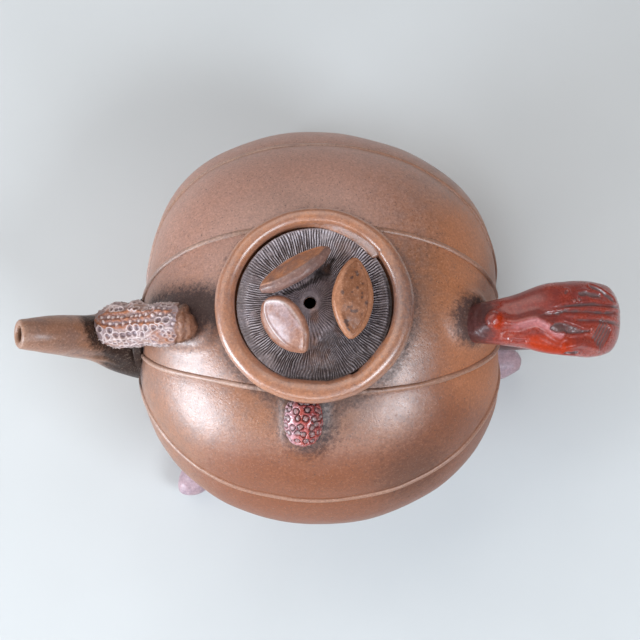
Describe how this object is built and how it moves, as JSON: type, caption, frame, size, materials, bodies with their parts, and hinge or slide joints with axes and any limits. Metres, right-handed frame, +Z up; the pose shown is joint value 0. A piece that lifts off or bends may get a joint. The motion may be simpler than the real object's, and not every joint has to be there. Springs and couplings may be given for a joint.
{
  "type": "teapot",
  "caption": "Clay teapot in natural forms: a ribbed melon pot on clove-shaped feet, with a spout, a loop handle and a lift-off mushroom lid with seeds as its knob.",
  "frame": {"origin": "on the table, under the axis of the mouth and lid", "axes": "+Z up, spout towards -X, handle towards +X, front towards -Y"},
  "size_m": [0.1723, 0.1167, 0.1061],
  "materials": {
    "sandy_clay": "unglazed stoneware, fine sandy grain, satin from handling",
    "rim_clay": "unglazed stoneware, smoothed and slightly burnished",
    "rib_clay": "unglazed stoneware, thin smoothed strips",
    "spout_clay": "unglazed stoneware, darker and fine grained",
    "red_clay": "red stoneware, burnished to a gloss",
    "mulberry_clay": "dark red stoneware, glossy",
    "peanut_clay": "pale pinkish stoneware with brown ridges, matt",
    "gill_clay": "grey stoneware, matt, finely combed",
    "seed_clay": "brown stoneware, satin",
    "pink_clay": "pale pink to mauve stoneware, satin"
  },
  "bodies": {
    "pot": {"melon_body": "sandy_clay", "base_disc": "sandy_clay", "mouth_collar": "sandy_clay", "rib_1": "rib_clay", "rib_2": "rib_clay", "rib_3": "rib_clay", "rib_4": "rib_clay", "rib_5": "rib_clay", "rib_6": "rib_clay", "rib_7": "rib_clay", "rib_8": "rib_clay", "spout": "spout_clay", "spout_strainer": "sandy_clay", "handle": "red_clay", "handle_spur": "red_clay", "foot_1": "pink_clay", "foot_2": "pink_clay", "foot_3": "pink_clay", "peanut": "peanut_clay", "mulberry": "mulberry_clay"},
    "lid_seat": {"lid_flange": "sandy_clay"},
    "lid_top": {"lid_cap": "rim_clay", "gill_disc": "gill_clay", "seed_1": "seed_clay", "seed_2": "seed_clay", "seed_3": "seed_clay"}
  },
  "joints": [
    {"name": "lid_lift", "type": "slide", "parent": "pot", "child": "lid_seat", "axis": [0, 0, 1], "range_m": [0, 0.06]},
    {"name": "lid_turn", "type": "hinge", "parent": "lid_seat", "child": "lid_top", "pos_m": [0, 0, 0.0929], "axis": [0, 0, 1], "continuous": true}
  ]
}
